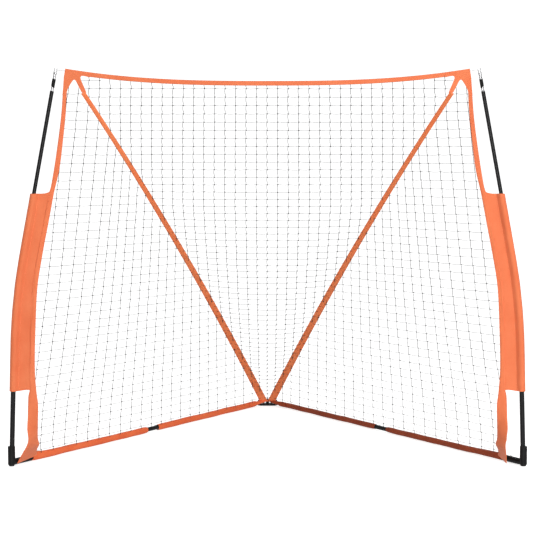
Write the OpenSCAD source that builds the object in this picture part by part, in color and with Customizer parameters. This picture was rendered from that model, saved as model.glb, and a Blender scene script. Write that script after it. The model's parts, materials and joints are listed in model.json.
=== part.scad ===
// Portable bow-style goal: two ground arms hinged at a rear hub, a bent pole standing in a
// socket at each front corner, and a fabric-edged net stretched between poles and hub.
// Millimetres. +Z up, the open mouth faces -Y, the hub is at +Y, the floor is z = 0.
// Every side piece is drawn for the right-hand (+X) side and mirrored for the left.

/* [Ground frame] */
// Half distance between the two pole sockets
foot_half = 1088; // [1000:1:1150]
// Depth from the pole sockets back to the hub's pivots
arm_run = 1500; // [1400:1:1600]
// Half distance between the two pivots
pivot_half = 30; // [28:1:34]
// Height of the ground tubes' axis
base_z = 16; // [16:0.5:18]
// Outer diameter of the ground tubes
base_tube_d = 20; // [19:0.5:20]
// Distance from the socket axis to the joint between the two ground tubes
joint_u = 935; // [900:1:960]
// Length of tube left bare at that joint
joint_bare = 80; // [60:1:90]

/* [Poles] */
// Outer diameter of the lower pole tube
pole_lower_d = 21; // [20.5:0.5:21.5]
// Outer diameter of the middle and upper pole tubes
pole_upper_d = 16.5; // [16:0.5:16.5]
// Inward lean of the lower tube, in degrees
pole_lean = 1.9; // [1.5:0.1:2.2]
// Inward lean of the upper tube, in degrees
pole_bend = 10.7; // [10.4:0.1:11]
// Radius of the bent stretch
bend_r = 2600; // [2500:10:2700]
// Height at which the bend starts
bend_z = 505; // [480:1:520]
// Height of the upper tube's cut end
upper_end_z = 1584; // [1570:1:1590]
// Height of the fork's prong ends
tip_z = 1679; // [1675:1:1685]

/* [Fabric] */
// Height of the net's top corners
corner_z = 1677; // [1670:1:1680]
// Half width of the net at its top corners
corner_x = 842; // [838:1:846]
// Height of the top band's upper edge at mid span
sag_z = 1626; // [1615:1:1640]
// Height of the wing's lower edge
wing_low_z = 316; // [300:1:330]
// Height of the wing's upper edge
wing_high_z = 1157; // [1140:1:1170]
// Thickness of bands and wings, hems included
band_t = 3; // [2:0.5:4]
// Thickness of the netting, knots included
net_t = 3; // [2:0.5:4]
// Outer diameter of the ground sleeves
sleeve_d = 25; // [24:0.5:25.5]

/* [Hidden] */
$fn = 48;
gap = 0.1;

arm_angle = atan((foot_half - pivot_half) / arm_run);
arm_length = sqrt(pow(foot_half - pivot_half, 2) + pow(arm_run, 2));
base_r = base_tube_d / 2;
base_bore_r = 8.5;
sleeve_r = sleeve_d / 2;

plate_r = 22;
plate_t = 4;
eye_t = 12;
eye_r = 13;
hub_bolt_r = 4;
hub_bolt_head_r = 8;
hub_bolt_head_t = 2.5;
hub_nut_d = 15;
hub_nut_t = 6.5;
hub_low_z = base_z - eye_t / 2 - 0.5 - plate_t;
hub_high_z = base_z + eye_t / 2 + 0.5;
spacer_y = 8;
spacer_r = 8;
patch_half = 13;

socket_r = 15.5;
socket_top_z = 84;
socket_low_z = 2.5;
stub_r = 13.5;
stub_end_u = 118;
screw_u = 75;
pole_foot_z = 12;
front_tube_u = 20;
plug_far = 76;
plug_near = 36;
shoulder_near = 30;

coupler_half = 80;
coupler_r = base_bore_r - 0.05;
coupler_bore_r = 6.5;
button_u = joint_u + 18;
button_r = 2.9;
button_flange_r = 4.2;
button_travel = 3;
button_flange_z = base_z + 2.4;
spring_low_z = base_z - 5.7;
spring_w = 6;
spring_t = 0.8;
spring_length = 40;

pocket_bore_r = 13;
pocket_r = 16;
pole_bore_r = 6.1;
tip_rod_r = 6;
grip_low_z = 1601;
grip_high_z = 1634;
collar_z = 1658;
prong_r = 1.9;
prong_x = 5;
loop_r = 1.2;
loop_z = 1668;

// The mouth plane holds the pole axes. The whole part is centred on the origin in Y.
foot_y = -(arm_run + plate_r - pocket_r) / 2;
pivot_y = foot_y + arm_run;

// The bent pole's axis: its two tangent points in X and Z, and the centre of the bend.
bend_x = foot_half - bend_z * tan(pole_lean);
bend_centre = [bend_x - bend_r * cos(pole_lean), bend_z - bend_r * sin(pole_lean)];
bend_end = bend_centre + bend_r * [cos(pole_bend), sin(pole_bend)];
ferrule_length = 80;
ferrule_r = 9.8;

// The net's free front edge, from the ground up, as X and Z in the mouth plane.
front_edge = [
    [978, 62], [975, 180], [973, 250], [979, 317], [985, 420], [980, 590],
    [970, 760], [948, 895], [921, 1030], [896, 1157], [871, 1264],
    [853, 1397], [842, 1500], [834, 1590], [833, 1616]
];
// The outer edge of the band that runs down the front edge: above, beside and below the wing.
band_upper_edge = [[848, 1640], [854, 1563], [863, 1464], [882, 1331], [905, 1197], [916, 1157]];
band_seam_edge = [[941, 1030], [968, 895], [990, 760], [1000, 590], [1005, 420], [1007, 316]];
band_lower_edge = [[1013, 300], [1017, 214], [1022, 146], [1027, 111], [1039, 77], [1054, 42], [1064, 12]];

// Height of the top band's upper edge at a distance x from mid span.
function top_edge_z(x) = sag_z + (corner_z - sag_z) * pow(abs(x) / corner_x, 2.7);

// Corner gusset: it holds the first stretch of the top band and the head of the diagonal strap.
gusset_x = 745;
band_end_x = 733;
top_band_h = 19;
side_window = [802, 1628];
back_window = [773, 1643];

// Diagonal strap: its axis from the gusset to the hub, and its width at each end.
strap_high = [785, foot_y + 14, 1622];
strap_low = [33, pivot_y - 30, 32];
strap_high_w = 20;
strap_low_w = 35;

// Netting meets the ground sleeves at this height.
net_low_z = 36;
side_net_apex = [46, pivot_y - 42, net_low_z];
back_net_gap = 40;
// The back netting's flat panel stops short of the hub by this share of the strap's length, and
// its lower edge is raised by this much, so that the strap passes below it as an arm folds.
back_net_short = 0.1;
back_net_lift = 60;

// ---- Frames and simple shapes ----

// The left side is the right side mirrored in the plane x = 0.
module left() {
    mirror([1, 0, 0]) children();
}

// Local +Z runs along the ground arm from the pole socket towards the pivot.
module along_arm() {
    translate([foot_half, foot_y, base_z]) rotate([0, 0, 90 + arm_angle]) rotate([0, 90, 0]) children();
}

// Local origin on the arm's axis at a distance u from the pole socket, with +X along the arm.
module on_arm(u) {
    translate([foot_half - u * sin(arm_angle), foot_y + u * cos(arm_angle), 0])
        rotate([0, 0, 90 + arm_angle]) children();
}

// Local +Z runs up the lower pole tube, from the floor.
module along_lower_pole() {
    translate([foot_half, foot_y, 0]) rotate([0, -pole_lean, 0]) children();
}

// Local +Z runs up the straight upper pole, from the end of the bend.
module along_upper_pole() {
    translate([bend_end[0], foot_y, bend_end[1]]) rotate([0, -pole_bend, 0]) children();
}

// Distance along the upper pole's axis at which it reaches the height z.
function upper_at(z) = (z - bend_end[1]) / cos(pole_bend);

module ring(r_out, r_in, low, high) {
    translate([0, 0, low]) difference() {
        cylinder(r = r_out, h = high - low);
        translate([0, 0, -1]) cylinder(r = r_in, h = high - low + 2);
    }
}

// The bent stretch of the pole's axis, swept with the child as its section.
module pole_arc() {
    translate([bend_centre[0], foot_y, bend_centre[1]]) rotate([90, 0, 0]) rotate([0, 0, pole_lean])
        rotate_extrude(angle = pole_bend - pole_lean, $fn = 96) translate([bend_r, 0]) children();
}

// A flat panel in the mouth plane.
module mouth_panel(points, t) {
    translate([0, foot_y + t / 2, 0]) rotate([90, 0, 0]) linear_extrude(t) polygon(points);
}

// A closed slab with the given corners as its mid surface, t thick along the direction dir.
// Its two faces are fans of triangles about the last corner.
module slab(points, t, dir) {
    n = len(points);
    half = dir * t / (2 * norm(dir));
    polyhedron(
        points = concat([for (p = points) p + half], [for (p = points) p - half]),
        faces = concat(
            [for (i = [0:n - 3]) [i, i + 1, n - 1]],
            [for (i = [0:n - 3]) [n + i + 1, n + i, 2 * n - 1]],
            [for (i = [0:n - 1]) each [[i, n + i, n + (i + 1) % n], [i, n + (i + 1) % n, (i + 1) % n]]]
        )
    );
}

// ---- Rear hub ----

module hub_outline() {
    square([2 * pivot_half, 2 * plate_r], center = true);
    for (s = [-1, 1]) translate([s * pivot_half, 0]) circle(r = plate_r);
}

module at_hub_bolts() {
    for (p = [[-pivot_half, 0], [0, spacer_y], [pivot_half, 0]]) translate([p[0], pivot_y + p[1], 0]) children();
}

module hub_plate(low_z) {
    difference() {
        translate([0, pivot_y, low_z]) linear_extrude(plate_t) hub_outline();
        at_hub_bolts() translate([0, 0, low_z - 1]) cylinder(r = hub_bolt_r + 0.05, h = plate_t + 2);
    }
}

module hub_top_plate() {
    color("#202020") hub_plate(hub_high_z);
}

module hub_bottom_plate() {
    color("#202020") hub_plate(hub_low_z);
}

module hub_spacer() {
    color("#202020") translate([0, pivot_y + spacer_y, 0])
        ring(spacer_r, hub_bolt_r + 0.05, hub_low_z + plate_t, hub_high_z);
}

module hub_bolts() {
    color("silver") at_hub_bolts() {
        translate([0, 0, hub_low_z - hub_bolt_head_t]) cylinder(r = hub_bolt_head_r, h = hub_bolt_head_t);
        translate([0, 0, hub_low_z]) cylinder(r = hub_bolt_r, h = hub_high_z + plate_t + hub_nut_t + 1.5 - hub_low_z);
    }
}

module hub_nuts() {
    color("silver") at_hub_bolts() translate([0, 0, hub_high_z + plate_t]) difference() {
        cylinder(d = hub_nut_d, h = hub_nut_t, $fn = 6);
        translate([0, 0, -1]) cylinder(r = hub_bolt_r, h = hub_nut_t + 2);
    }
}

module hub_foot_pad() {
    color("#303030") difference() {
        translate([0, pivot_y, 0]) linear_extrude(hub_low_z) hub_outline();
        at_hub_bolts() translate([0, 0, hub_low_z - hub_bolt_head_t]) cylinder(r = hub_bolt_head_r + gap, h = 10);
    }
}

// Fabric that joins the two ground sleeves in front of the hub.
module apex_patch() {
    color("#d8632f") translate([-patch_half, pivot_y - 46, 3]) cube([2 * patch_half, 18, 27]);
}

// ---- Ground arm ----

module foot_elbow() {
    color("#262626") difference() {
        union() {
            translate([foot_half, foot_y, socket_low_z + 5]) cylinder(r = socket_r, h = socket_top_z - socket_low_z - 5);
            translate([foot_half, foot_y, socket_low_z]) cylinder(r1 = socket_r - 4, r2 = socket_r, h = 5);
            along_arm() cylinder(r = stub_r, h = stub_end_u);
        }
        along_lower_pole() translate([0, 0, pole_foot_z]) cylinder(r = pole_lower_d / 2 + gap, h = 100);
        along_arm() translate([0, 0, front_tube_u - 1]) cylinder(r = base_r + gap, h = stub_end_u);
        on_arm(screw_u) translate([0, 0, base_z]) cylinder(r = 2.5, h = 20);
    }
}

module foot_pad() {
    color("#303030") translate([foot_half, foot_y, 0]) cylinder(r = socket_r - 4, h = socket_low_z);
}

module elbow_screw() {
    color("silver") on_arm(screw_u) {
        translate([0, 0, base_z + stub_r]) cylinder(r = 4.5, h = 2.5);
        translate([0, 0, base_z + base_r - 4]) cylinder(r = 2.4, h = stub_r - base_r + 4);
    }
}

module front_base_tube() {
    color("#202020") difference() {
        along_arm() ring(base_r, base_bore_r, front_tube_u, joint_u - gap);
        on_arm(screw_u) translate([0, 0, base_z]) cylinder(r = 2.5, h = 20);
    }
}

module rear_base_tube() {
    color("#202020") difference() {
        along_arm() ring(base_r, base_bore_r, joint_u + gap, arm_length - plug_near - gap);
        on_arm(button_u) translate([0, 0, base_z]) cylinder(r = button_r + 0.1, h = 20);
    }
}

module base_coupler() {
    color("silver") difference() {
        along_arm() ring(coupler_r, coupler_bore_r, joint_u - coupler_half, joint_u + coupler_half);
        on_arm(button_u) translate([0, 0, base_z]) cylinder(r = button_r + 0.1, h = 20);
    }
}

module snap_button() {
    color("silver") on_arm(button_u) {
        translate([0, 0, button_flange_z]) cylinder(r = button_flange_r, h = 1.8);
        translate([0, 0, button_flange_z]) cylinder(r = button_r, h = base_z + base_r + button_travel - button_flange_z);
    }
}

// Hairpin leaf that pushes the button up from the far wall of the coupler.
module snap_spring() {
    rise = button_flange_z - gap - spring_low_z - spring_t;
    flat = spring_length - 6;
    color("silver") on_arm(button_u) translate([0, spring_w / 2, spring_low_z]) rotate([90, 0, 0])
        linear_extrude(spring_w) polygon([
            [-4, 0], [flat, 0], [flat + 3, 1.5], [flat, 3], [4, rise + spring_t], [-4, rise + spring_t],
            [-4, rise], [3, rise], [flat - 2, 2.2], [flat, 1.2], [flat - 2, spring_t], [-4, spring_t]
        ]);
}

module pivot_fitting() {
    color("silver") difference() {
        union() {
            along_arm() translate([0, 0, arm_length - plug_far]) cylinder(r = base_bore_r - gap, h = plug_far - plug_near);
            along_arm() translate([0, 0, arm_length - plug_near]) cylinder(r = base_r, h = plug_near - shoulder_near);
            on_arm(arm_length - shoulder_near - 1) translate([0, -eye_t / 2, base_z - eye_t / 2])
                cube([shoulder_near + 1, eye_t, eye_t]);
            translate([pivot_half, pivot_y, base_z - eye_t / 2]) cylinder(r = eye_r, h = eye_t);
        }
        translate([pivot_half, pivot_y, 0]) cylinder(r = hub_bolt_r + 0.05, h = 60);
    }
}

// ---- Pole ----

module pole_lower() {
    color("#202020") along_lower_pole()
        ring(pole_lower_d / 2, pole_upper_d / 2 + gap, pole_foot_z + gap, bend_z / cos(pole_lean) - 1);
}

// The bent tube's straight tails are a hair thinner than the bend, and run into it.
module pole_middle() {
    tail_r = pole_upper_d / 2 - gap / 2;
    tail_bore_r = pole_bore_r + gap / 2;
    color("#1c1c1c") {
        along_lower_pole()
            ring(tail_r, tail_bore_r, bend_z / cos(pole_lean) - 80, bend_z / cos(pole_lean) + 1);
        pole_arc() difference() {
            circle(d = pole_upper_d);
            circle(r = pole_bore_r);
        }
        along_upper_pole() ring(tail_r, tail_bore_r, -1, ferrule_length / 2 - gap);
    }
}

module pole_ferrule() {
    color("silver") along_upper_pole() ring(ferrule_r, pole_upper_d / 2 + gap, 1, ferrule_length);
}

module pole_upper() {
    color("#1c1c1c") along_upper_pole()
        ring(pole_upper_d / 2, pole_bore_r, ferrule_length / 2 + gap, upper_at(upper_end_z));
}

module tip_rod() {
    color("silver") along_upper_pole() translate([0, 0, upper_at(upper_end_z) - 45])
        cylinder(r = tip_rod_r, h = upper_at(collar_z) - upper_at(upper_end_z) + 45);
}

// Band of black plastic with a slanted lower edge.
module tip_grip() {
    color("#101010") along_upper_pole() difference() {
        ring(tip_rod_r + 1.6, tip_rod_r + gap / 2, upper_at(grip_low_z) - 8, upper_at(grip_high_z));
        translate([0, 0, upper_at(grip_low_z)]) rotate([0, -30, 0]) translate([-30, -30, -40]) cube([60, 60, 40]);
    }
}

// Cap on the rod's end with two upright prongs. The net's corner loop hooks over the inner one.
module tip_fork() {
    high = upper_at(tip_z);
    color("silver") along_upper_pole() {
        ring(tip_rod_r + 1.1, tip_rod_r + gap / 2, upper_at(collar_z) - 6, upper_at(collar_z));
        translate([0, 0, upper_at(collar_z)]) cylinder(r = tip_rod_r + 1.1, h = 3);
        for (s = [-1, 1]) translate([s * prong_x, 0, upper_at(collar_z) + 2]) {
            cylinder(r = prong_r, h = high - upper_at(collar_z) - 2 - prong_r);
            translate([0, 0, high - upper_at(collar_z) - 2 - prong_r]) sphere(r = prong_r);
        }
    }
}

// Cord sewn to the net's corner, round the fork's inner prong and back.
module corner_loop() {
    fork_x = bend_end[0] - (loop_z - bend_end[1]) * tan(pole_bend);
    reach = fork_x - corner_x;
    turn_r = prong_r + loop_r + 0.4;
    color("white") translate([corner_x, foot_y, loop_z]) {
        for (s = [-1, 1]) translate([0.2, s * turn_r, 0]) rotate([0, 90, 0]) cylinder(r = loop_r, h = reach - turn_r - 0.2);
        translate([reach - turn_r, 0, 0]) rotate([0, 0, -90]) rotate_extrude(angle = 180) translate([turn_r, 0])
            circle(r = loop_r, $fn = 24);
    }
}

// ---- Fabric ----

// Wing panel with the pocket that the pole slides through.
module wing_sleeve() {
    pole_side = [
        for (z = [wing_low_z, bend_z]) [foot_half - z * tan(pole_lean) - pocket_bore_r - 1, z],
        for (a = [pole_lean + 2:2:pole_bend]) bend_centre + (bend_r - pocket_bore_r - 1) * [cos(a), sin(a)],
        for (z = [bend_end[1] + 20, wing_high_z])
            [bend_end[0] - (z - bend_end[1]) * tan(pole_bend) - pocket_bore_r - 1, z]
    ];
    seam_side = [band_upper_edge[len(band_upper_edge) - 1], each band_seam_edge];
    color("#ff8c5a") {
        mouth_panel(concat(pole_side, [for (p = seam_side) p + [gap, 0]]), band_t);
        along_lower_pole()
            ring(pocket_r, pocket_bore_r, wing_low_z / cos(pole_lean), bend_z / cos(pole_lean));
        pole_arc() difference() {
            circle(r = pocket_r);
            circle(r = pocket_bore_r);
        }
        along_upper_pole() ring(pocket_r, pocket_bore_r, 0, upper_at(wing_high_z));
    }
}

module post_band() {
    color("#ff8552") mouth_panel(concat(
        front_edge,
        band_upper_edge,
        band_seam_edge,
        band_lower_edge,
        [[1040, 10], [975, 22]]
    ), band_t);
}

module corner_gusset() {
    color("#ff8c5a") mouth_panel([
        [corner_x, corner_z], [band_upper_edge[0][0], band_upper_edge[0][1] + gap], [833, 1616 + gap + 1],
        side_window, back_window, [gusset_x, top_edge_z(gusset_x) - top_band_h - 2],
        [gusset_x, top_edge_z(gusset_x)]
    ], band_t);
}

module top_band() {
    xs = [for (i = [0:8]) 0.3 + i * (band_end_x - 0.3) / 8];
    color("#ff8552") mouth_panel(concat(
        [for (x = xs) [x, top_edge_z(x)]],
        [for (i = [8:-1:0]) [xs[i], top_edge_z(xs[i]) - top_band_h]]
    ), band_t);
}

// The strap lies across its own axis, turned as squarely to the mouth as that axis allows.
module diagonal_strap() {
    axis = (strap_low - strap_high) / norm(strap_low - strap_high);
    across = cross(axis, [0, -1, 0]) / norm(cross(axis, [0, -1, 0]));
    color("#e87442") slab([
        strap_high - across * strap_high_w / 2, strap_high + across * strap_high_w / 2,
        strap_low + across * strap_low_w / 2, strap_low - across * strap_low_w / 2
    ], band_t, cross(axis, across));
}

module front_ground_sleeve() {
    color("#f0703c") along_arm() ring(sleeve_r, base_r + gap, stub_end_u + 1, joint_u - joint_bare / 2);
}

module rear_ground_sleeve() {
    color("#f0703c") along_arm() ring(sleeve_r, base_r + gap, joint_u + joint_bare / 2, arm_length - 58);
}

// Netting between the front edge, the ground sleeves and the diagonal strap.
module side_net() {
    edge = [for (p = front_edge) [p[0] + 4, foot_y + band_t / 2 + net_t, p[1]]];
    color("#4a4a4a") slab(concat(edge, [side_net_apex]), net_t, [1, 0, 0]);
}

// Netting between the top band and the diagonal strap, one half on each side of x = 0.
module back_net() {
    top_y = foot_y + band_t / 2 + net_t;
    corner = [band_end_x - back_net_gap, top_y, top_edge_z(band_end_x) - top_band_h - 2];
    middle = [0.3, top_y, sag_z - top_band_h - 2];
    span = strap_low - strap_high;
    tip = strap_low - span * back_net_short;
    side = [tip[0] - back_net_gap, tip[1], tip[2] + back_net_lift];
    low = [0.3, tip[1], tip[2] + back_net_lift];
    color("#4a4a4a") slab([middle, corner, side, low], net_t, [0, -span[2], span[1]]);
}

// ---- One node at a time ----

hub_top_plate();
hub_bottom_plate();
hub_spacer();
hub_bolts();
hub_nuts();
hub_foot_pad();
apex_patch();
left() back_net();  // left_back_net
back_net();  // right_back_net
left() top_band();  // left_top_band
top_band();  // right_top_band
left() foot_elbow();  // left_foot_elbow
foot_elbow();  // right_foot_elbow
left() foot_pad();  // left_foot_pad
foot_pad();  // right_foot_pad
left() elbow_screw();  // left_elbow_screw
elbow_screw();  // right_elbow_screw
left() front_base_tube();  // left_front_base_tube
front_base_tube();  // right_front_base_tube
left() rear_base_tube();  // left_rear_base_tube
rear_base_tube();  // right_rear_base_tube
left() base_coupler();  // left_base_coupler
base_coupler();  // right_base_coupler
left() snap_button();  // left_snap_button
snap_button();  // right_snap_button
left() snap_spring();  // left_snap_spring
snap_spring();  // right_snap_spring
left() pivot_fitting();  // left_pivot_fitting
pivot_fitting();  // right_pivot_fitting
left() pole_lower();  // left_pole_lower
pole_lower();  // right_pole_lower
left() pole_middle();  // left_pole_middle
pole_middle();  // right_pole_middle
left() pole_ferrule();  // left_pole_ferrule
pole_ferrule();  // right_pole_ferrule
left() pole_upper();  // left_pole_upper
pole_upper();  // right_pole_upper
left() tip_rod();  // left_tip_rod
tip_rod();  // right_tip_rod
left() tip_grip();  // left_tip_grip
tip_grip();  // right_tip_grip
left() tip_fork();  // left_tip_fork
tip_fork();  // right_tip_fork
left() corner_loop();  // left_corner_loop
corner_loop();  // right_corner_loop
left() wing_sleeve();  // left_wing_sleeve
wing_sleeve();  // right_wing_sleeve
left() post_band();  // left_post_band
post_band();  // right_post_band
left() corner_gusset();  // left_corner_gusset
corner_gusset();  // right_corner_gusset
left() diagonal_strap();  // left_diagonal_strap
diagonal_strap();  // right_diagonal_strap
left() front_ground_sleeve();  // left_front_ground_sleeve
front_ground_sleeve();  // right_front_ground_sleeve
left() rear_ground_sleeve();  // left_rear_ground_sleeve
rear_ground_sleeve();  // right_rear_ground_sleeve
left() side_net();  // left_side_net
side_net();  // right_side_net
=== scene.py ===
import bpy
import json
import math
import numpy as np
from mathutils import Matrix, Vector, noise
from mathutils.geometry import delaunay_2d_cdt


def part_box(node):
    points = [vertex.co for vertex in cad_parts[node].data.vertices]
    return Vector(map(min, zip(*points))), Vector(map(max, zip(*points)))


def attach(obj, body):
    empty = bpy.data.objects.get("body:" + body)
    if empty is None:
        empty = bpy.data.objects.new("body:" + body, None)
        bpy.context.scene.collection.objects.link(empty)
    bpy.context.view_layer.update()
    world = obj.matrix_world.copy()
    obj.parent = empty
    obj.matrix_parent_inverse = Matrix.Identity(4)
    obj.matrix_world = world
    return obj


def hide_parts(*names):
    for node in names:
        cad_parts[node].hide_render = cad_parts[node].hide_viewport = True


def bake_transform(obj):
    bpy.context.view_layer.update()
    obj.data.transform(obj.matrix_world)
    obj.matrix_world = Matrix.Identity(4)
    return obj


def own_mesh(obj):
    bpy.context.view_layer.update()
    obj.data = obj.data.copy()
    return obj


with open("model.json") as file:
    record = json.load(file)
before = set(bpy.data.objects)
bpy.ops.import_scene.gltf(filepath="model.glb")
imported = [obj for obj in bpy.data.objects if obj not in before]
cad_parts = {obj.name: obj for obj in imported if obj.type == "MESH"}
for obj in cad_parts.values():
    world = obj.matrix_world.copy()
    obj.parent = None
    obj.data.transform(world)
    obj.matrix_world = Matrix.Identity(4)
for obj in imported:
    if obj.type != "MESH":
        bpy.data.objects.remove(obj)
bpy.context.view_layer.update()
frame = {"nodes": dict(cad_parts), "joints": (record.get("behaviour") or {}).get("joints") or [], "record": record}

# Everything is in metres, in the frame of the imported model: the mouth faces -Y, the hub is at +Y.
# Side pieces are worked out for the right-hand (+X) side and mirrored for the left.
SIDES = {"right": 1, "left": -1}
MM = 0.001


# ---- Places taken from the frame ----

def centre_of(node):
    low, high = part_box(node)
    return (low + high) / 2


def joint_place(name):
    joint = next(j for j in frame["joints"] if j["name"] == name)
    return Vector(joint["pos_m"])


FOOT = centre_of("right_foot_pad")
PIVOT = joint_place("right_arm_fold")
FOOT_Y = FOOT.y
ARM = Vector((PIVOT.x - FOOT.x, PIVOT.y - FOOT.y, 0))
ARM_LENGTH = ARM.length
ARM_DIR = ARM.normalized()
ARM_ACROSS = Vector((ARM_DIR.y, -ARM_DIR.x, 0))

# ---- Named dimensions of the cloth ----

CORNER_X = 0.842
CORNER_Z = 1.677
SAG_Z = 1.626
TOP_BAND_H = 0.0195
TOP_BAND_END = 0.752
WING_LOW = 0.321
WING_HIGH = 1.157
POCKET_R = 0.0152
STRAP_HIGH = np.array([0.766, FOOT_Y - 0.003, 1.574])
STRAP_CORNER = np.array([0.786, FOOT_Y - 0.001, 1.622])
STRAP_LOW = np.array([0.021, PIVOT.y - 0.040, 0.030])
STRAP_BOW = 0.048
STRAP_W = (0.0185, 0.0375)
ROW_PITCH = 0.040
COLUMN_PITCH = 0.0436
SIDE_ROW_PITCH = 0.0363
SIDE_COLUMN_PITCH = 0.043
NET_LOW = 0.030
COLUMN_TWINE_R = 0.00112
ROW_TWINE_R = 0.00078
GUSSET_Y = FOOT_Y - 0.0022

# Inner edge of the post band from the floor to the gusset, as X and Z.
FRONT_EDGE = [
    (0.980, 0.010), (0.981, 0.050), (0.970, 0.080), (0.976, 0.110), (0.975, 0.180),
    (0.973, 0.262), (0.979, 0.317),
    (0.985, 0.420), (0.980, 0.590), (0.970, 0.760), (0.948, 0.895), (0.921, 1.030),
    (0.896, 1.157), (0.871, 1.264), (0.853, 1.397), (0.842, 1.500), (0.838, 1.567),
    (0.836, 1.620),
]
# Its outer edge: below, beside and above the wing.
BAND_EDGE = [
    (1.064, 0.010), (1.052, 0.034), (1.040, 0.056), (1.022, 0.088), (1.016, 0.115),
    (1.020, 0.160), (1.017, 0.214), (1.013, 0.300), (1.007, 0.330), (1.005, 0.420), (1.000, 0.590),
    (0.990, 0.760), (0.968, 0.895), (0.941, 1.030), (0.918, 1.150), (0.905, 1.197),
    (0.882, 1.331), (0.863, 1.464), (0.854, 1.563), (0.848, 1.640),
]
# The pole's axis, as X and Z, from the socket to the fork.
POLE_LINE = [(1.088, 0.0), (1.0712, 0.505), (1.0274, 0.9015), (0.8812, 1.675)]
POLE_BEND_R = 2.6
# The back net's column pitch at some heights, as height and share of the pitch at the top.
COLUMN_SHARE = [(0.15, 0.911), (0.30, 0.972), (0.60, 1.041), (0.81, 1.067), (1.09, 1.083), (1.60, 1.0)]


# ---- Curves ----

def interp(points, z):
    """X at the height z on an outline given as (X, Z) points from low to high."""
    table = np.array(points)
    return np.interp(z, table[:, 1], table[:, 0])


def through(points, count):
    """A smooth curve through the points, as count samples."""
    p = np.array(points, float)
    p = np.vstack([2 * p[0] - p[1], p, 2 * p[-1] - p[-2]])
    spans = len(p) - 3
    out = []
    for s in np.linspace(0, spans - 1e-9, count):
        i = int(s)
        t = s - i
        a, b, c, d = p[i:i + 4]
        out.append(0.5 * (2 * b + (c - a) * t + (2 * a - 5 * b + 4 * c - d) * t * t
                          + (3 * b - a - 3 * c + d) * t ** 3))
    return np.array(out)


FRONT_CURVE = through(FRONT_EDGE, 240)
BAND_CURVE = through(BAND_EDGE, 240)


def pole_x(z):
    """X of the pole's axis: straight, bent, then straight again."""
    low, high = POLE_LINE[1], POLE_LINE[2]
    if z <= low[1] or z >= high[1]:
        return float(interp(POLE_LINE, z))
    lean = math.atan2(POLE_LINE[0][0] - low[0], low[1])
    centre_x = low[0] - POLE_BEND_R * math.cos(lean)
    centre_z = low[1] - POLE_BEND_R * math.sin(lean)
    return centre_x + math.sqrt(POLE_BEND_R ** 2 - (z - centre_z) ** 2)


def foot_swing(z):
    """How far the post band's inner edge swings back to the ground tube near the floor."""
    return 0.125 * max(0.0, 1 - z / 0.30) ** 2


def front_point(z):
    """The net's front edge at the height z. The view from the mouth doesn't change as it swings back."""
    back = foot_swing(z)
    return np.array([interp(FRONT_CURVE, z) * (1 + back / 6.0), FOOT_Y + 0.003 + back, z])


def top_edge(x):
    return SAG_Z + (CORNER_Z - SAG_Z) * (abs(x) / CORNER_X) ** 2.7


def strap_point(t):
    p = STRAP_HIGH + (STRAP_LOW - STRAP_HIGH) * t
    return p + np.array([0, 0, STRAP_BOW * 4 * t * (1 - t)])


STRAP_TABLE = np.array([*(strap_point(t) for t in np.linspace(1.0, 0.0, 200)), STRAP_CORNER])


def strap_x(z):
    return float(np.interp(z, STRAP_TABLE[:, 2], STRAP_TABLE[:, 0]))


def strap_depth(z):
    return float(np.interp(z, STRAP_TABLE[:, 2], STRAP_TABLE[:, 1])) - FOOT_Y


def centre_profile():
    """The back net's middle column from the top band to the hub, as depth and height. It sags:
    its slope turns from steep at the band to shallow at the hub."""
    steep, shallow = math.radians(34), math.radians(57)
    t = np.linspace(0, 1, 400) ** 0.85
    slope = steep + (shallow - steep) * t * t * (3 - 2 * t)
    depth = np.concatenate([[0], np.cumsum(np.sin(slope))])
    drop = np.concatenate([[0], np.cumsum(np.cos(slope))])
    high, low = SAG_Z - TOP_BAND_H, 0.034
    span = PIVOT.y - 0.040 - FOOT_Y
    return np.stack([0.004 + depth / depth[-1] * (span - 0.004), high - drop / drop[-1] * (high - low)], 1)


PROFILE = centre_profile()


def back_depth(x, z):
    """Depth of the back net behind the mouth: its middle sags behind the two straps."""
    middle = float(np.interp(z, PROFILE[::-1, 1], PROFILE[::-1, 0]))
    edge = strap_depth(z)
    share = min(1.0, abs(x) / max(strap_x(z), 1e-4))
    return middle + (edge - middle) * share ** 2


# ---- Mesh helpers ----

def add_object(name, mesh, mat):
    for face in mesh.polygons:
        face.use_smooth = True
    mesh.materials.append(mat)
    piece = bpy.data.objects.new(name, mesh)
    bpy.context.scene.collection.objects.link(piece)
    return piece


def mirrored(points, side):
    out = np.array(points, float)
    out[..., 0] *= side
    return out


def loft(name, grid, mat, side, closed=False, thickness=0.0):
    """A mesh through rows of points. Its UV map is in metres: across the rows, then along them."""
    grid = mirrored(grid, side)
    rows, cols = grid.shape[:2]
    ring = cols if closed else cols - 1
    along = np.concatenate([[0], np.cumsum(np.linalg.norm(np.diff(grid.mean(1), axis=0), axis=1))])
    middle = np.vstack([grid[rows // 2], grid[rows // 2][:1]])
    across = np.concatenate([[0], np.cumsum(np.linalg.norm(np.diff(middle, axis=0), axis=1))])
    faces, uvs = [], []
    for r in range(rows - 1):
        for c in range(ring):
            n = (c + 1) % cols
            face = [r * cols + c, r * cols + n, (r + 1) * cols + n, (r + 1) * cols + c]
            uv = [(across[c], along[r]), (across[c + 1], along[r]),
                  (across[c + 1], along[r + 1]), (across[c], along[r + 1])]
            faces.append(face if side > 0 else face[::-1])
            uvs.extend(uv if side > 0 else uv[::-1])
    mesh = bpy.data.meshes.new(name)
    mesh.from_pydata(grid.reshape(-1, 3).tolist(), [], faces)
    layer = mesh.uv_layers.new(name="cloth")
    layer.data.foreach_set("uv", np.array(uvs, np.float32).ravel())
    piece = add_object(name, mesh, mat)
    if thickness:
        thicken(piece, thickness)
    return piece


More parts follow.
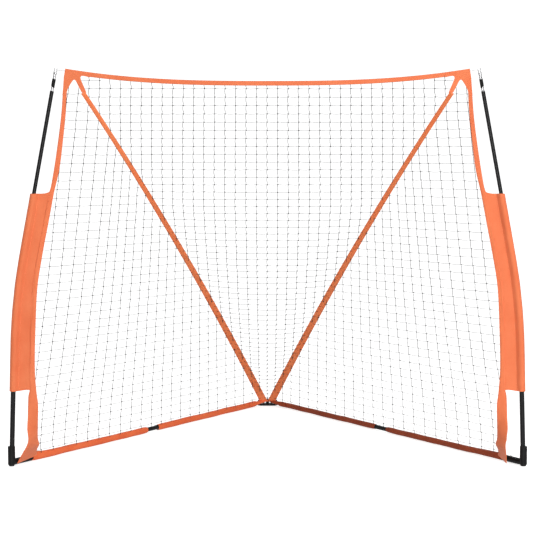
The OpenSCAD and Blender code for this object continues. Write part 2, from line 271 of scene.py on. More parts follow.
def thicken(piece, thickness):
    modifier = piece.modifiers.new("cloth_thickness", "SOLIDIFY")
    modifier.thickness = thickness
    modifier.offset = 0.0
    bevel = piece.modifiers.new("soft_edge", "BEVEL")
    bevel.width = thickness * 0.3
    bevel.segments = 2
    bevel.limit_method = "ANGLE"


def panel(name, outline, mat, side, y, spacing, thickness):
    """A flat cloth panel in the mouth plane, filled with small triangles and gently rippled."""
    edge = np.array(outline, float)
    low, high = edge.min(0), edge.max(0)
    points = [Vector(p) for p in edge]
    for gx in np.arange(low[0] + spacing / 2, high[0], spacing):
        for gz in np.arange(low[1] + spacing / 2, high[1], spacing):
            gap = np.min(np.hypot(edge[:, 0] - gx, edge[:, 1] - gz))
            if gap > spacing * 0.6:
                points.append(Vector((gx, gz)))
    count = len(edge)
    edges = [(i, (i + 1) % count) for i in range(count)]
    made = delaunay_2d_cdt(points, edges, [list(range(count))], 1, 1e-6)
    verts = []
    for p in made[0]:
        ripple = noise.noise(Vector((p[0] * 38, p[1] * 38, 0.4))) * 0.9 * MM
        verts.append((p[0] * side, y + ripple, p[1]))
    faces = []
    for f in made[2]:
        a, b, c = (Vector(verts[i]) for i in f)
        faces.append(list(f) if (b - a).cross(c - a).y < 0 else list(f)[::-1])
    mesh = bpy.data.meshes.new(name)
    mesh.from_pydata(verts, [], faces)
    layer = mesh.uv_layers.new(name="cloth")
    for loop in mesh.loops:
        v = mesh.vertices[loop.vertex_index].co
        layer.data[loop.index].uv = (v.x, v.z)
    piece = add_object(name, mesh, mat)
    thicken(piece, thickness)
    return piece


class Strands:
    """Collects thin tubes and knots into one mesh."""

    def __init__(self):
        self.verts, self.faces, self.uvs, self.count = [], [], [], 0

    def tube(self, path, radius, sides=6):
        path = np.array(path, float)
        if len(path) < 2:
            return
        tangent = np.gradient(path, axis=0)
        tangent /= np.linalg.norm(tangent, axis=1)[:, None] + 1e-12
        ref = np.array([0.35, 0.80, 0.48])
        u = np.cross(tangent, ref)
        u /= np.linalg.norm(u, axis=1)[:, None]
        v = np.cross(tangent, u)
        turn = np.arange(sides) * 2 * math.pi / sides
        ring = (path[:, None] + radius * (u[:, None] * np.cos(turn)[None, :, None]
                                          + v[:, None] * np.sin(turn)[None, :, None]))
        start = self.count
        self.verts.append(ring.reshape(-1, 3))
        self.count += ring.shape[0] * sides
        length = np.concatenate([[0], np.cumsum(np.linalg.norm(np.diff(path, axis=0), axis=1))])
        for r in range(len(path) - 1):
            for c in range(sides):
                n = (c + 1) % sides
                self.faces.append((start + r * sides + c, start + r * sides + n,
                                   start + (r + 1) * sides + n, start + (r + 1) * sides + c))
                self.uvs.extend([(c / sides, length[r]), ((c + 1) / sides, length[r]),
                                 ((c + 1) / sides, length[r + 1]), (c / sides, length[r + 1])])
        for end, order in ((0, -1), (len(path) - 1, 1)):
            cap = [start + end * sides + c for c in range(sides)][::order]
            self.faces.append(tuple(cap))
            self.uvs.extend([(0, 0)] * sides)

    def knot(self, place, size):
        """A lumpy knot: a twelve-sided ball, pulled out of round."""
        g = (1 + 5 ** 0.5) / 2
        ball = np.array([(-1, g, 0), (1, g, 0), (-1, -g, 0), (1, -g, 0), (0, -1, g), (0, 1, g),
                         (0, -1, -g), (0, 1, -g), (g, 0, -1), (g, 0, 1), (-g, 0, -1), (-g, 0, 1)])
        ball /= np.linalg.norm(ball[0])
        faces = [(0, 11, 5), (0, 5, 1), (0, 1, 7), (0, 7, 10), (0, 10, 11), (1, 5, 9), (5, 11, 4),
                 (11, 10, 2), (10, 7, 6), (7, 1, 8), (3, 9, 4), (3, 4, 2), (3, 2, 6), (3, 6, 8),
                 (3, 8, 9), (4, 9, 5), (2, 4, 11), (6, 2, 10), (8, 6, 7), (9, 8, 1)]
        stretch = 1 + 0.3 * noise.noise(Vector(place) * 57)
        lump = ball * np.array(size) * np.array([stretch, 1, 2 - stretch])
        start = self.count
        self.verts.append(lump + np.array(place))
        self.count += 12
        for f in faces:
            self.faces.append(tuple(start + i for i in f))
            self.uvs.extend([(0, 0), (0.1, 0), (0.1, 0.001)])

    def finish(self, name, mat, side=1):
        mesh = bpy.data.meshes.new(name)
        verts = mirrored(np.vstack(self.verts), side)
        faces = self.faces
        uvs = np.array(self.uvs, np.float32)
        mesh.from_pydata(verts.tolist(), [], faces)
        layer = mesh.uv_layers.new(name="cloth")
        layer.data.foreach_set("uv", uvs.ravel())
        if side < 0:
            mesh.flip_normals()
        return add_object(name, mesh, mat)


# ---- Materials ----

BLACK_SPECULAR = 0.12

def start_material(name, roughness, metallic=0.0):
    mat = bpy.data.materials.new(name)
    mat.use_nodes = True
    shader = mat.node_tree.nodes["Principled BSDF"]
    shader.inputs["Roughness"].default_value = roughness
    shader.inputs["Metallic"].default_value = metallic
    return mat, mat.node_tree, shader


def add_node(tree, kind, **settings):
    """A node with its inputs set by name."""
    made = tree.nodes.new(kind)
    for key, value in settings.items():
        made.inputs[key].default_value = value
    return made


def map_range(tree, value, source, target):
    """A value moved from the source range to the target range."""
    made = tree.nodes.new("ShaderNodeMapRange")
    for key, number in zip(("From Min", "From Max", "To Min", "To Max"), (*source, *target)):
        made.inputs[key].default_value = number
    tree.links.new(value, made.inputs["Value"])
    return made.outputs["Result"]


def object_coords(tree):
    return tree.nodes.new("ShaderNodeTexCoord").outputs["Object"]


def cloth_coords(tree):
    uv = tree.nodes.new("ShaderNodeUVMap")
    uv.uv_map = "cloth"
    return uv.outputs["UV"]


def mottle(tree, shader, coords, dark, light, scale, detail=4.0):
    """Base colour that drifts between two tones."""
    cloud = add_node(tree, "ShaderNodeTexNoise", Scale=scale, Detail=detail, Roughness=0.6)
    tree.links.new(coords, cloud.inputs["Vector"])
    ramp = tree.nodes.new("ShaderNodeValToRGB")
    ramp.color_ramp.elements[0].position = 0.32
    ramp.color_ramp.elements[1].position = 0.68
    ramp.color_ramp.elements[0].color = (*dark, 1)
    ramp.color_ramp.elements[1].color = (*light, 1)
    tree.links.new(cloud.outputs["Fac"], ramp.inputs["Fac"])
    tree.links.new(ramp.outputs["Color"], shader.inputs["Base Color"])
    return ramp


def vary_roughness(tree, shader, coords, low, high, scale):
    cloud = add_node(tree, "ShaderNodeTexNoise", Scale=scale, Detail=3.0)
    tree.links.new(coords, cloud.inputs["Vector"])
    spread = map_range(tree, cloud.outputs["Fac"], (0, 1), (low, high))
    tree.links.new(spread, shader.inputs["Roughness"])


def bump(tree, shader, height, strength, distance, below=None):
    made = add_node(tree, "ShaderNodeBump", Strength=strength, Distance=distance)
    tree.links.new(height, made.inputs["Height"])
    if below:
        tree.links.new(below.outputs["Normal"], made.inputs["Normal"])
    tree.links.new(made.outputs["Normal"], shader.inputs["Normal"])
    return made


def bands(tree, coords, direction, pitch):
    """Parallel ridges with the given pitch in metres."""
    wave = add_node(tree, "ShaderNodeTexWave", Scale=math.pi / 10 / pitch)
    wave.bands_direction = direction
    tree.links.new(coords, wave.inputs["Vector"])
    return wave.outputs["Fac"]


def math_node(tree, operation, a, b):
    made = tree.nodes.new("ShaderNodeMath")
    made.operation = operation
    for socket, value in zip(made.inputs, (a, b)):
        if isinstance(value, float):
            socket.default_value = value
        else:
            tree.links.new(value, socket)
    return made.outputs[0]


def woven(name, dark, light, warp, weft, wrinkle, sheen):
    """Coated woven polyester: threads both ways, slow creases and a soft sheen."""
    mat, tree, shader = start_material(name, 0.62)
    shader.inputs["Sheen Weight"].default_value = sheen
    shader.inputs["Sheen Roughness"].default_value = 0.45
    shader.inputs["Specular IOR Level"].default_value = 0.12
    coords = cloth_coords(tree)
    ramp = mottle(tree, shader, object_coords(tree), dark, light, 9.0)
    warp_ridges = bands(tree, coords, "X", warp)
    weft_ridges = bands(tree, coords, "Y", weft)
    weave = math_node(tree, "MULTIPLY", warp_ridges, weft_ridges)
    thread = map_range(tree, weave, (0, 1), (0.93, 1.04))
    tint = tree.nodes.new("ShaderNodeVectorMath")
    tint.operation = "SCALE"
    tree.links.new(ramp.outputs["Color"], tint.inputs[0])
    tree.links.new(thread, tint.inputs["Scale"])
    tree.links.new(tint.outputs["Vector"], shader.inputs["Base Color"])
    crease = add_node(tree, "ShaderNodeTexNoise", Scale=26.0, Detail=2.0, Distortion=0.6)
    tree.links.new(object_coords(tree), crease.inputs["Vector"])
    slow = bump(tree, shader, crease.outputs["Fac"], wrinkle, 0.004)
    bump(tree, shader, weave, 0.35, 0.00025, slow)
    return mat


def twine_material():
    """Twisted black twine, a little dusty in random patches."""
    mat, tree, shader = start_material("net_twine", 0.85)
    coords = cloth_coords(tree)
    mottle(tree, shader, object_coords(tree), (0.012, 0.012, 0.013), (0.040, 0.040, 0.042), 60.0)
    split = tree.nodes.new("ShaderNodeSeparateXYZ")
    tree.links.new(coords, split.inputs[0])
    lay = math_node(tree, "ADD", math_node(tree, "MULTIPLY", split.outputs["Y"], 2200.0),
                    math_node(tree, "MULTIPLY", split.outputs["X"], 4 * math.pi))
    bump(tree, shader, math_node(tree, "SINE", lay, 0.0), 0.6, 0.0003)
    return mat


def powder_coat(name, dark, light, roughness):
    """Black paint with a fine orange-peel skin and slightly polished patches."""
    mat, tree, shader = start_material(name, roughness)
    shader.inputs["Specular IOR Level"].default_value = BLACK_SPECULAR
    coords = object_coords(tree)
    mottle(tree, shader, coords, dark, light, 14.0)
    vary_roughness(tree, shader, coords, roughness - 0.08, roughness + 0.10, 30.0)
    peel = add_node(tree, "ShaderNodeTexNoise", Scale=900.0, Detail=2.0)
    tree.links.new(coords, peel.inputs["Vector"])
    bump(tree, shader, peel.outputs["Fac"], 0.25, 0.0004)
    return mat


def pole_material():
    """Pultruded pole: smooth satin black with faint fibres along its length."""
    mat, tree, shader = start_material("pole_black", 0.34)
    shader.inputs["Specular IOR Level"].default_value = BLACK_SPECULAR
    coords = object_coords(tree)
    mottle(tree, shader, coords, (0.004, 0.004, 0.0045), (0.009, 0.009, 0.0095), 6.0)
    along = tree.nodes.new("ShaderNodeMapping")
    along.inputs["Scale"].default_value = (700, 700, 6)
    tree.links.new(coords, along.inputs["Vector"])
    fibre = add_node(tree, "ShaderNodeTexNoise", Scale=1.0, Detail=3.0)
    tree.links.new(along.outputs["Vector"], fibre.inputs["Vector"])
    bump(tree, shader, fibre.outputs["Fac"], 0.2, 0.0002)
    return mat


def metal(name, dark, light, roughness, stretch):
    """Bright metal with fine drawn lines in one direction."""
    mat, tree, shader = start_material(name, roughness, 1.0)
    coords = object_coords(tree)
    mottle(tree, shader, coords, dark, light, 40.0)
    along = tree.nodes.new("ShaderNodeMapping")
    along.inputs["Scale"].default_value = stretch
    tree.links.new(coords, along.inputs["Vector"])
    line = add_node(tree, "ShaderNodeTexNoise", Scale=1.0, Detail=3.0)
    tree.links.new(along.outputs["Vector"], line.inputs["Vector"])
    vary_roughness(tree, shader, along.outputs["Vector"], roughness - 0.08, roughness + 0.12, 1.0)
    bump(tree, shader, line.outputs["Fac"], 0.2, 0.0002)
    return mat


def moulded(name, dark, light, roughness, grain):
    """Moulded plastic or rubber with a spark-eroded grain."""
    mat, tree, shader = start_material(name, roughness)
    shader.inputs["Specular IOR Level"].default_value = BLACK_SPECULAR
    coords = object_coords(tree)
    mottle(tree, shader, coords, dark, light, 25.0)
    pits = add_node(tree, "ShaderNodeTexVoronoi", Scale=grain)
    tree.links.new(coords, pits.inputs["Vector"])
    fine = bump(tree, shader, pits.outputs["Distance"], 0.2, 0.0003)
    flow = add_node(tree, "ShaderNodeTexNoise", Scale=grain / 9, Detail=3.0)
    tree.links.new(coords, flow.inputs["Vector"])
    bump(tree, shader, flow.outputs["Fac"], 0.15, 0.0006, fine)
    return mat


def braid_material():
    """Pale braided cord: two crossing sets of ridges."""
    mat, tree, shader = start_material("pale_braid", 0.8)
    coords = object_coords(tree)
    mottle(tree, shader, coords, (0.55, 0.55, 0.54), (0.80, 0.80, 0.79), 300.0)
    slanting = bands(tree, coords, "DIAGONAL", 0.0012)
    upright = bands(tree, coords, "X", 0.0010)
    cross = math_node(tree, "MULTIPLY", slanting, upright)
    bump(tree, shader, cross, 0.5, 0.0004)
    return mat


def thread_material():
    """Sewing thread, a shade lighter than the cloth."""
    mat, tree, shader = start_material("seam_thread", 0.7)
    coords = object_coords(tree)
    mottle(tree, shader, coords, (0.92, 0.24, 0.09), (1.0, 0.36, 0.17), 200.0)
    twist = bands(tree, coords, "DIAGONAL", 0.0006)
    bump(tree, shader, twist, 0.4, 0.0002)
    return mat


CLOTH = woven("orange_cloth", (0.80, 0.180, 0.070), (0.85, 0.220, 0.090), 0.0007, 0.0007, 0.25, 0.15)
WEBBING = woven("orange_webbing", (0.97, 0.225, 0.075), (1.0, 0.270, 0.100), 0.0016, 0.0009, 0.10, 0.05)
GROUND_CLOTH = woven("ground_cloth", (0.80, 0.130, 0.042), (0.90, 0.180, 0.062), 0.0007, 0.0007, 0.55, 0.05)
# The right-hand ground cloth is the left-hand one darkened to about two fifths: painted shade on the sleeves and
# apex flap that face away from the key light.
PAINTED_SHADE_GROUND_CLOTH = woven("painted_shade_ground_cloth", (0.26, 0.042, 0.014), (0.38, 0.068, 0.022), 0.0007, 0.0007, 0.55, 0.05)
GROUND_CLOTHS = {"left": GROUND_CLOTH, "right": PAINTED_SHADE_GROUND_CLOTH}
THREAD = thread_material()
TWINE = twine_material()

SLOT_MATERIALS = {
    "powder_coated_tube": powder_coat("tube_black", (0.004, 0.004, 0.0045), (0.010, 0.010, 0.011), 0.42),
    "fibreglass_pole": pole_material(),
    "bare_steel": metal("drawn_steel", (0.22, 0.22, 0.225), (0.36, 0.36, 0.365), 0.30, (900, 900, 25)),
    "zinc_fastener": metal("zinc_plate", (0.25, 0.255, 0.255), (0.38, 0.38, 0.375), 0.38, (260, 260, 260)),
    "black_plastic": moulded("socket_plastic", (0.003, 0.003, 0.0032), (0.008, 0.008, 0.0085), 0.50, 1500.0),
    "grip_plastic": moulded("grip_plastic", (0.002, 0.002, 0.002), (0.006, 0.006, 0.006), 0.60, 2600.0),
    "rubber_pad": moulded("foot_rubber", (0.006, 0.006, 0.006), (0.013, 0.013, 0.0125), 0.80, 700.0),
    "light_cord": braid_material(),
}


def dress_cad_nodes():
    """Gives every carried-over CAD node the procedural material of its record slot."""
    finish = {}
    for part in frame["record"]["subparts"]:
        finish[part["node"]] = part["material_slot"]
    for name, piece in frame["nodes"].items():
        mat = SLOT_MATERIALS.get(finish.get(name))
        if mat and piece.material_slots:
            for slot in piece.material_slots:
                slot.material = mat
        elif mat:
            piece.data.materials.append(mat)


# ---- Camera, light and floor ----

def make_camera():
    data = bpy.data.cameras.new("camera")
    data.lens = 96.22
    data.clip_end = 200
    camera = bpy.data.objects.new("camera", data)
    camera.location = (0, FOOT_Y - 6.0, 1.308)
    camera.rotation_euler = (math.radians(85.6), 0, 0)
    bpy.context.scene.collection.objects.link(camera)
    bpy.context.scene.camera = camera


def make_light(name, place, target, size, power):
    data = bpy.data.lights.new(name, "AREA")
    data.shape = "SQUARE"
    data.size = size
    data.energy = power
    lamp = bpy.data.objects.new(name, data)
    lamp.location = place
    lamp.rotation_euler = (Vector(target) - Vector(place)).to_track_quat("-Z", "Y").to_euler()
    bpy.context.scene.collection.objects.link(lamp)


def make_world():
    """A white studio: bright behind the net, dim in front, and dimmer below the horizon."""
    world = bpy.data.worlds.new("studio")
    bpy.context.scene.world = world
    world.use_nodes = True
    tree = world.node_tree
    background = tree.nodes["Background"]
    background.inputs["Color"].default_value = (1, 1, 1, 1)
    split = tree.nodes.new("ShaderNodeSeparateXYZ")
    tree.links.new(tree.nodes.new("ShaderNodeTexCoord").outputs["Generated"], split.inputs[0])
    behind = map_range(tree, split.outputs["Y"], (0.1, 0.85), (0.42, 1.15))
    below = map_range(tree, split.outputs["Z"], (-0.25, -0.06), (0.6, 1.0))
    total = math_node(tree, "MULTIPLY", behind, below)
    tree.links.new(total, background.inputs["Strength"])


def make_floor():
    """A plain pale floor. It doesn't throw its own colour back on the cloth."""
    mesh = bpy.data.meshes.new("floor")
    half = 90.0
    corners = [(-half, -half, 0), (half, -half, 0), (half, half, 0), (-half, half, 0)]
    mesh.from_pydata(corners, [], [(0, 1, 2, 3)])
    mat, _, shader = start_material("floor_white", 0.9)
    shader.inputs["Base Color"].default_value = (0.80, 0.80, 0.80, 1)
    shader.inputs["Specular IOR Level"].default_value = 0.0
    shader.inputs["Emission Color"].default_value = (1, 1, 1, 1)
    shader.inputs["Emission Strength"].default_value = 0.72
    floor = add_object("floor", mesh, mat)
    floor.visible_diffuse = False
    floor.visible_glossy = True


def make_studio():
    make_world()
    make_floor()
    make_light("key", (4.6, -5.6, 3.6), (0, -0.2, 0.7), 2.6, 190)
    make_light("low_fill", (0.3, -7.4, 0.5), (0, 0, 0.7), 3.0, 400)
    bpy.context.scene.view_settings.view_transform = "Standard"


# ---- Cloth pieces ----

def arm_body(label):
    return f"{label}_arm"


def place_sheet(nodes):
    """Hides the CAD nodes that a cloth piece stands for."""
    if nodes:
        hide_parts(*nodes)


def stitches(name, paths, label, side, offset=(0, -0.0015, 0), pitch=0.0046, length=0.0031):
    """Rows of sewn stitches: short spindles of thread that dip in at both ends."""
    seam = Strands()
    for path in paths:
        path = np.array(path, float) + np.array(offset)
        along = np.concatenate([[0], np.cumsum(np.linalg.norm(np.diff(path, axis=0), axis=1))])
        for s in np.arange(pitch, along[-1] - pitch, pitch):
            ends = [s - length / 2, s, s + length / 2]
            points = np.stack([np.interp(ends, along, path[:, k]) for k in range(3)], 1)
            points[[0, 2]] -= np.array(offset) * 0.35
            seam.tube(points, 0.00042, 4)
    piece = seam.finish(name, THREAD, side)
    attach(piece, arm_body(label))


def post_band(label, side):
    """The strip of cloth that edges the net from the gusset down to the foot."""
    tip_shift = -0.052 if side > 0 else 0.0
    heights = np.concatenate([np.linspace(0.010, 0.30, 40), np.linspace(0.31, 1.605, 150)])
    grid = []
    for z in heights:
        inner = front_point(max(z, 0.024))
        tail = max(0.0, 1 - z / 0.11)
        outer = np.array([interp(BAND_CURVE, z) + tip_shift * tail, FOOT_Y, z])
        share = np.linspace(0, 1, 9)[:, None]
        row = inner + (outer - inner) * share
        wave = [noise.noise(Vector((s * 1.5, z * 9, 3 + side))) for s in share[:, 0]]
        crown = 1 - (2 * share[:, 0] - 1) ** 4
        row[:, 1] += -0.0022 * crown - 0.0030 * np.array(wave) * crown
        grid.append(row)
    piece = loft(f"{label}_post_band_cloth", np.array(grid), CLOTH, side, thickness=0.0016)
    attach(piece, arm_body(label))
    nodes = [f"{label}_post_band"]
    place_sheet(nodes)
    rows = [np.array([g[k] for g in grid[6:]]) for k in (1, 7)]
    stitches(f"{label}_post_band_stitching", rows, label, side, (0, -0.0014, 0))


def wing(label, side):
    """The wing panel with the pocket that the pole slides through, as one folded cloth. Both ends curve
    into the post band, and the lower hem rises toward it first."""
    grid = []
    turns = np.radians(np.linspace(150, -150, 22))
    between = np.linspace(WING_LOW + 0.006, WING_HIGH - 0.006, 110)
    heights = [WING_LOW, WING_LOW + 0.002, *between, WING_HIGH - 0.002, WING_HIGH]
    for z in heights:
        seam_x = interp(BAND_CURVE, z) - 0.012
        cx = pole_x(z)
        start = cx - POCKET_R * 1.35
        edge = min(z - WING_LOW, WING_HIGH - z)
        hem = 0.0008 if edge < 0.012 else 0.0
        row = []
        for s in np.linspace(0, 1, 10):
            x = seam_x + (start - seam_x) * s
            swell = math.sin(math.pi * s) * 0.0030 * noise.noise(Vector((x * 14, z * 7, 1.3 * side)))
            row.append((x, FOOT_Y + 0.0012 - hem + swell, z))
        for a in turns:
            r = POCKET_R * (1 + 0.05 * noise.noise(Vector((math.cos(a), math.sin(a) * 2, z * 16))))
            row.append((cx + r * math.cos(a), FOOT_Y - r * math.sin(a), z))
        row.append((start + 0.001, FOOT_Y + 0.0035, z))
        row.append((start - 0.008, FOOT_Y + 0.0040, z))
        grid.append(row)
    grid = np.array(grid)
    inward = np.linspace(1, 0, 10)
    grid[-2:, :10, 2] += inward ** 3 * 0.014
    near_hem = np.maximum(0, 1 - (grid[:, :10, 2] - WING_LOW) / 0.06)
    grid[:, :10, 2] += near_hem * (inward * 0.009 - inward ** 8 * 0.020)
    piece = loft(f"{label}_wing_cloth", grid, CLOTH, side, thickness=0.0014)
    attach(piece, arm_body(label))
    nodes = [f"{label}_wing_sleeve"]
    place_sheet(nodes)
    seam = [grid[3:-3, 9], grid[3:-3, 8] + np.array([0.004, 0, 0])]
    hems = [through(grid[r, :9], 40) for r in (3, -4)]
    stitches(f"{label}_wing_stitching", seam + hems, label, side, (0, -0.0012, 0))


def gusset_outline():
    top = [(x, top_edge(x)) for x in np.linspace(TOP_BAND_END - 0.012, CORNER_X, 14)]
    outer = [(0.8450, 1.660), (0.8485, 1.640), (0.8515, 1.600), (0.8550, 1.566)]
    side_window = through([(0.8385, 1.566), (0.8350, 1.585), (0.8262, 1.604), (0.8155, 1.621),
                           (0.8070, 1.6305), (0.7995, 1.627), (0.7905, 1.610), (0.7735, 1.577)], 26)
    back_window = through([(0.7545, 1.577), (0.7640, 1.600), (0.7750, 1.626), (0.7790, 1.6395),
                           (0.7735, 1.6465), (0.7620, 1.6455), (0.7520, 1.6435),
                           (TOP_BAND_END - 0.012, 1.6405)], 22)
    return [*top, *outer, *map(tuple, side_window), *map(tuple, back_window)]


def gusset(label, side):
    """The corner panel that joins the post band, the top band and the diagonal strap."""
    outline = gusset_outline()
    piece = panel(f"{label}_gusset_cloth", outline, CLOTH, side, GUSSET_Y, 0.006, 0.0018)
    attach(piece, arm_body(label))
    nodes = [f"{label}_corner_gusset"]
    place_sheet(nodes)
    edge = np.array([(x, GUSSET_Y, z) for x, z in outline])
    inward = edge[:15].copy()
    inward[:, 2] -= 0.004
    stitches(f"{label}_gusset_stitching", [inward], label, side)


def top_band(label, side):
    """Half of the binding along the net's top edge: tape folded over a taut cord."""
    grid = []
    for x in np.linspace(0, TOP_BAND_END, 90):
        z = top_edge(x)
        h = TOP_BAND_H
        wave = 0.0010 * noise.noise(Vector((x * 11, 0.7, side)))
        ring = [(0.0, 0.0), (-0.0022, -0.0008), (-0.0026, -0.0030), (-0.0018, -0.0060), (-0.0014, -0.5 * h),
                (-0.0014, -0.85 * h), (-0.0004, -h), (0.0006, -h), (0.0014, -0.85 * h), (0.0014, -0.5 * h),
                (0.0018, -0.0060), (0.0026, -0.0030), (0.0022, -0.0008)]
        grid.append([(x, FOOT_Y + y + wave, z + dz) for y, dz in ring])
    piece = loft(f"{label}_top_band_cloth", np.array(grid), CLOTH, side, closed=True)
    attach(piece, arm_body(label))
    place_sheet([f"{label}_top_band"])
    fold_up(piece)


def strap_grid():
    grid = []
    for t in np.linspace(-0.004, 1.0, 130):
        p = strap_point(t)
        axis = strap_point(t + 0.004) - strap_point(t - 0.004)
        axis /= np.linalg.norm(axis)
        across = np.cross(axis, [0, -1, 0])
        across /= np.linalg.norm(across)
        face = np.cross(axis, across)
        w = STRAP_W[0] + (STRAP_W[1] - STRAP_W[0]) * max(t, 0.0) ** 1.15
        share = np.linspace(-0.5, 0.5, 7)[:, None]
        curl = (share * 2) ** 2 * 0.0018
        ripple = 0.0012 * noise.noise(Vector((t * 22, 0.2, 5)))
        grid.append(p + across * w * share + face * (curl + ripple - 0.0055))
    return np.array(grid)


def diagonal_strap(label, side):
    grid = strap_grid()
    piece = loft(f"{label}_diagonal_strap_cloth", grid, WEBBING, side, thickness=0.0020)
    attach(piece, arm_body(label))
    nodes = [f"{label}_diagonal_strap"]
    place_sheet(nodes)
    rows = [grid[4:-2, 1], grid[4:-2, 5]]
    stitches(f"{label}_strap_stitching", rows, label, side, (0, -0.0011, -0.0009))


def arm_place(u, across, z):
    p = FOOT + ARM_DIR * u + ARM_ACROSS * across
    return (p.x, p.y, z)


def sleeve(label, side, part, start, end, half_w, low, high, web):
    """Cloth rolled round a ground tube: a soft closed skin with creases. It rises by web at its start,
    where the net's edge pulls it up."""
    grid = []
    count = 26
    square = 0.82
    for u in np.arange(start, end + 0.0001, 0.008):
        ease = min(1.0, (u - start) / 0.02, (end - u) / 0.02)
        drift = 0.0012 * noise.noise(Vector((u * 7, 4.0, side)))
        ring = []
        for a in np.arange(count) * 2 * math.pi / count:
            c, s = math.cos(a), math.sin(a)
            fold = noise.noise(Vector((c * 1.2, s * 1.2, u * 13 + side))) * 0.0011
            w = half_w * (0.90 + 0.10 * ease) + fold
            mid = (high + low) / 2
            h = (high - low) / 2 * (0.88 + 0.12 * ease) + fold
            rise = web * math.exp(-(u - start) / 0.07) * max(0.0, s) ** 2
            ring.append(arm_place(u, w * abs(c) ** square * (1 if c > 0 else -1),
                                  mid + drift + rise + h * abs(s) ** square * (1 if s > 0 else -1)))
        grid.append(ring)
    piece = loft(f"{label}_{part}_sleeve_cloth", np.array(grid), GROUND_CLOTHS[label], side, closed=True)
    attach(piece, arm_body(label))
    nodes = [f"{label}_{part}_ground_sleeve"]
    place_sheet(nodes)


def ground_sleeves(label, side):
    """The left-hand cloth hangs a little lower and wider than the right-hand one, which is rolled tight and
    darkened with painted shade.
    """
    coupling = centre_of("right_base_coupler")
    middle = (Vector((coupling.x, coupling.y, 0)) - Vector((FOOT.x, FOOT.y, 0))).length
    if side > 0:
        gap, low, high, half_w = (0.897, 0.981), 0.0035, 0.0290, 0.0125
    else:
        gap, low, high, half_w = (middle - 0.046, middle + 0.034), 0.0012, 0.0305, 0.0128
    sleeve(label, side, "front", 0.112, gap[0], half_w + 0.001, low, high, 0.008 if side > 0 else 0.016)
    sleeve(label, side, "rear", gap[1], ARM_LENGTH - 0.056, half_w, low, high, 0.0)


def apex_flap(label, side):
    """Cloth that carries the ground sleeve round the front of the hub. It narrows toward the middle."""
    slant = 0.62
    grid = []
    for x in np.linspace(0, 0.092, 26):
        beyond = max(0.0, x - 0.012)
        y = PIVOT.y - 0.034 - beyond * ARM_DIR.y / -ARM_DIR.x * slant
        ease = min(1.0, x / 0.07)
        mid, half_h = 0.0290 - 0.0125 * ease, 0.0045 + 0.0105 * ease
        ring = []
        for a in np.radians(np.linspace(205, -20, 12)):
            ring.append((x, y - 0.0135 * math.cos(a), mid + half_h * math.sin(a)))
        grid.append(ring)
    piece = loft(f"{label}_apex_flap_cloth", np.array(grid), GROUND_CLOTHS[label], side, thickness=0.0016)
    nodes = ["apex_patch"] if side > 0 else []
    place_sheet(nodes)
    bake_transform(piece)


def snap_leaf(label, side):
    """The button's hairpin leaf inside the tubes."""
    low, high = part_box(f"{label}_snap_spring")
    half_w = 0.003
    button = centre_of(f"{label}_snap_button")
    u = (Vector((abs(button.x), button.y, 0)) - Vector((FOOT.x, FOOT.y, 0))).dot(ARM_DIR)
    height = high.z - low.z
    path = through([(-0.004, high.z - 0.0004), (0.012, high.z - 0.0008), (0.024, low.z + 0.55 * height),
                    (0.033, low.z + 0.0022), (0.0355, low.z + 0.0015), (0.033, low.z + 0.0004),
                    (-0.004, low.z + 0.0004)], 48)
    grid = [[arm_place(u + du, a, z) for a in np.linspace(-half_w, half_w, 5)] for du, z in path]
    piece = loft(f"{label}_snap_leaf", np.array(grid), SLOT_MATERIALS["bare_steel"], side, thickness=0.0008)
    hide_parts(f"{label}_snap_spring")
    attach(piece, arm_body(label))
    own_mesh(piece)


# ---- Netting ----

def fold_up(piece):
    """Gives the netting or band its own copy of its mesh."""
    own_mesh(piece)


def jitter(x, z, seed):
    """A knot's small offset from the even grid."""
    return (0.0016 * noise.noise(Vector((x * 31, z * 31, seed))),
            0.0014 * noise.noise(Vector((x * 29, z * 29, seed + 7))))


def strand_between(a, b, across, bulge, lean, steps):
    """Points from one knot to the next: the twine bows to one side and leans through the knot."""
    a, b = np.array(a), np.array(b)
    out = []
    for t in np.linspace(0, 1, steps + 1)[:-1]:
        shift = -bulge * math.sin(math.pi * t) + lean * (2 * t - 1)
        out.append(a + (b - a) * t + np.array(across) * shift)
    return out


def back_node(x, z):
    return np.array([x, FOOT_Y + back_depth(x, z), z])


def back_rows():
    """Heights of the back net's rows: even steps along the sagging middle column."""
    steps = np.linalg.norm(np.diff(PROFILE, axis=0), axis=1)
    length = np.concatenate([[0], np.cumsum(steps)])
    places = np.arange(ROW_PITCH * 0.35, length[-1] - 0.01, ROW_PITCH)
    heights = list(np.interp(places, length, PROFILE[:, 1]))
    above = heights[0] + 0.034
    return ([above] if above < 1.64 else []) + heights


def back_column_x(j, z):
    """X of a back net column at the height z."""
    heights, shares = zip(*COLUMN_SHARE)
    return j * COLUMN_PITCH * float(np.interp(z, heights, shares))


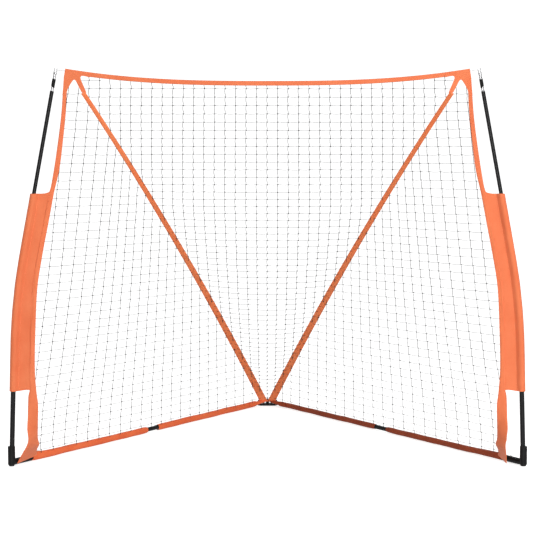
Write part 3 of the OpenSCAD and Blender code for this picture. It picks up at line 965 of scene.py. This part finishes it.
def back_net(label, side):
    """Half of the square-mesh netting between the top band and the two straps."""
    net = Strands()
    rows = back_rows()
    columns = range(0 if side > 0 else 1, 19)
    last = {z: min(strap_x(z), 0.774) for z in rows}
    knots = {}
    for z in rows:
        for j in columns:
            x = back_column_x(j, z)
            if x < last[z] - 0.004 and z < top_edge(x) - TOP_BAND_H - 0.004:
                dx, dz = jitter(x * side, z, 1)
                knots[(j, z)] = back_node(x + dx * side, z + dz)
    for j in columns:
        chain = [knots[(j, z)] for z in rows if (j, z) in knots]
        if not chain:
            continue
        x = back_column_x(j, chain[0][2])
        points = [back_node(x, top_edge(x) - TOP_BAND_H + 0.006)]
        for a, b in zip([points[0]] + chain[:-1], chain):
            points += strand_between(a, b, (1, 0, 0), 0.0030 * side, 0.0022 * side, 4)
        points.append(chain[-1])
        low = chain[-1][2] - 0.04
        for z in np.linspace(chain[-1][2], low, 9)[1:]:
            x = back_column_x(j, max(z, 0.034))
            if z < 0.034 or x > strap_x(z):
                break
            points.append(back_node(x, z))
        net.tube(points, COLUMN_TWINE_R)
    for z in rows:
        row = [knots[(j, z)] for j in columns if (j, z) in knots]
        first = back_node(0.0, z) if z < SAG_Z - TOP_BAND_H else None
        if first is not None and side < 0:
            row = [first] + row
        if not row:
            continue
        end = back_node(last[z], z)
        points = []
        for a, b in zip(row, row[1:] + [end]):
            points += strand_between(a, b, (0, 0.2, -1), -0.0012, 0.0009, 3)
        net.tube(points + [end], ROW_TWINE_R)
    for place in knots.values():
        net.knot(place, (0.0027, 0.0021, 0.0024))
    piece = net.finish(f"{label}_back_netting", TWINE, side)
    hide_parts(f"{label}_back_net")
    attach(piece, arm_body(label))
    fold_up(piece)


def side_node(x, z):
    """A point of the side net: each level runs straight from the front edge to the strap."""
    front = front_point(z)
    end_x, end_y = strap_x(z), FOOT_Y + strap_depth(z)
    share = (front[0] - x) / max(front[0] - end_x, 1e-4)
    return np.array([x, front[1] + (end_y - front[1]) * share, z])


def side_column_x(foot_x, z):
    """X of a side net column at the height z: the outer columns lean outward toward the floor."""
    lean = 0.125 * min(1.0, max(0.0, (foot_x - 0.25) / 0.60))
    return foot_x - lean * (z - NET_LOW)


def in_side_net(x, z):
    return strap_x(z) + 0.004 < x < front_point(z)[0] - 0.002


def column_end(foot_x, heights):
    """The stretch of a column from its last knot to the edge of the net."""
    out = []
    for z in heights:
        x = side_column_x(foot_x, z)
        if not strap_x(z) - 0.002 < x < front_point(z)[0]:
            break
        out.append(side_node(x, z))
    return out


def side_net(label, side):
    net = Strands()
    rows = np.arange(NET_LOW + 0.5 * SIDE_ROW_PITCH, 1.60, SIDE_ROW_PITCH)
    columns = np.arange(1.068, 0.06, -SIDE_COLUMN_PITCH)
    knots = {}
    for i, z in enumerate(rows):
        for k, foot_x in enumerate(columns):
            x = side_column_x(foot_x, z)
            if in_side_net(x, z):
                dx, dz = jitter(x * side, z, 3)
                knots[(k, i)] = side_node(x + dx, z + dz)
    for k, foot_x in enumerate(columns):
        chain = [knots[(k, i)] for i in range(len(rows)) if (k, i) in knots]
        if not chain:
            continue
        points = column_end(foot_x, np.arange(chain[0][2] - 0.006, NET_LOW, -0.006))[::-1]
        for a, b in zip(chain, chain[1:]):
            points += strand_between(a, b, (0.5, -0.8, 0), 0.0036 * side, 0.0030 * side, 4)
        points.append(chain[-1])
        points += column_end(foot_x, np.arange(chain[-1][2] + 0.006, 1.62, 0.006))
        net.tube(points, COLUMN_TWINE_R)
    for i, z in enumerate(rows):
        row = [knots[(k, i)] for k in range(len(columns)) if (k, i) in knots]
        start, end = front_point(z), side_node(strap_x(z), z)
        points = []
        for a, b in zip([start] + row, row + [end]):
            points += strand_between(a, b, (0, 0, -1), -0.0014, 0.0009, 3)
        net.tube(points + [end], ROW_TWINE_R)
    for place in knots.values():
        net.knot(place, (0.0025, 0.0025, 0.0025))
    piece = net.finish(f"{label}_side_netting", TWINE, side)
    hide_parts(f"{label}_side_net")
    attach(piece, arm_body(label))


# ---- The whole object ----

make_camera()
make_studio()
dress_cad_nodes()
for label, side in SIDES.items():
    post_band(label, side)
    wing(label, side)
    gusset(label, side)
    top_band(label, side)
    diagonal_strap(label, side)
    ground_sleeves(label, side)
    apex_flap(label, side)
    snap_leaf(label, side)
    side_net(label, side)
    back_net(label, side)
